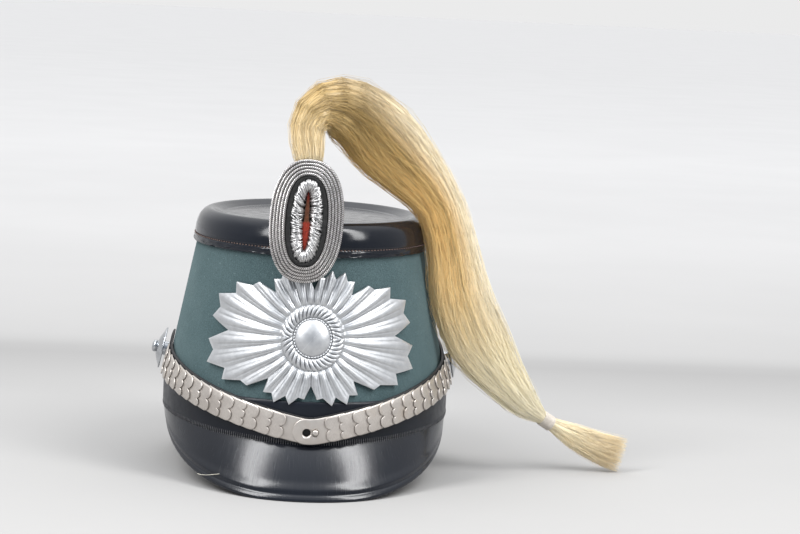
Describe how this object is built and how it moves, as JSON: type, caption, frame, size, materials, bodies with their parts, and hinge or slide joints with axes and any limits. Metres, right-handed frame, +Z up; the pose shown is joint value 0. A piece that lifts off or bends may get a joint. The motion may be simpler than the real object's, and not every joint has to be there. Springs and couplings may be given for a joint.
{
  "type": "shako hat",
  "caption": "Tapered cloth-covered shako with black leather top and two peaks, metal chin scales, cast front plate, oval corded field badge and a falling hair plume",
  "frame": {"origin": "the surface it stands on, under the middle of the whole footprint, plume included", "axes": "+Z up, the front peak and badge face -Y, +X is the viewer's right, where the plume falls"},
  "size_m": [0.3295, 0.2582, 0.2649],
  "materials": {
    "cloth": "blue-green wool felt cloth",
    "leather": "black lacquered leather and fibre",
    "strap": "matt black leather",
    "scale": "satin, finely brushed, slightly dulled",
    "boss": "bright plated",
    "plate": "cast, bright matt",
    "silver_cord": "twisted silver wire cord and bullion",
    "black_cloth": "black wool",
    "red_cloth": "red wool",
    "hair": "straw-coloured horsehair",
    "thread": "pale wrapped thread"
  },
  "bodies": {
    "root": {"crown_shell": "cloth", "crown_top": "leather", "base_band": "leather", "front_peak": "leather", "rear_peak": "leather", "strap_left": "strap", "strap_right": "strap", "end_plate_left": "scale", "end_plate_right": "scale", "strap_stud": "scale", "scale_left_01": "scale", "scale_left_02": "scale", "scale_left_03": "scale", "scale_left_04": "scale", "scale_left_05": "scale", "scale_left_06": "scale", "scale_left_07": "scale", "scale_left_08": "scale", "scale_left_09": "scale", "scale_left_10": "scale", "scale_left_11": "scale", "scale_left_12": "scale", "scale_left_13": "scale", "scale_left_14": "scale", "scale_right_01": "scale", "scale_right_02": "scale", "scale_right_03": "scale", "scale_right_04": "scale", "scale_right_05": "scale", "scale_right_06": "scale", "scale_right_07": "scale", "scale_right_08": "scale", "scale_right_09": "scale", "scale_right_10": "scale", "scale_right_11": "scale", "scale_right_12": "scale", "scale_right_13": "scale", "scale_right_14": "scale", "boss_left": "boss", "boss_right": "boss", "front_plate": "plate", "cockade_backing": "black_cloth", "cockade_cord": "silver_cord", "cockade_black_ring": "black_cloth", "cockade_bullion": "silver_cord", "cockade_core": "red_cloth", "plume_socket": "strap", "plume": "hair", "plume_tie": "thread"}
  },
  "joints": []
}
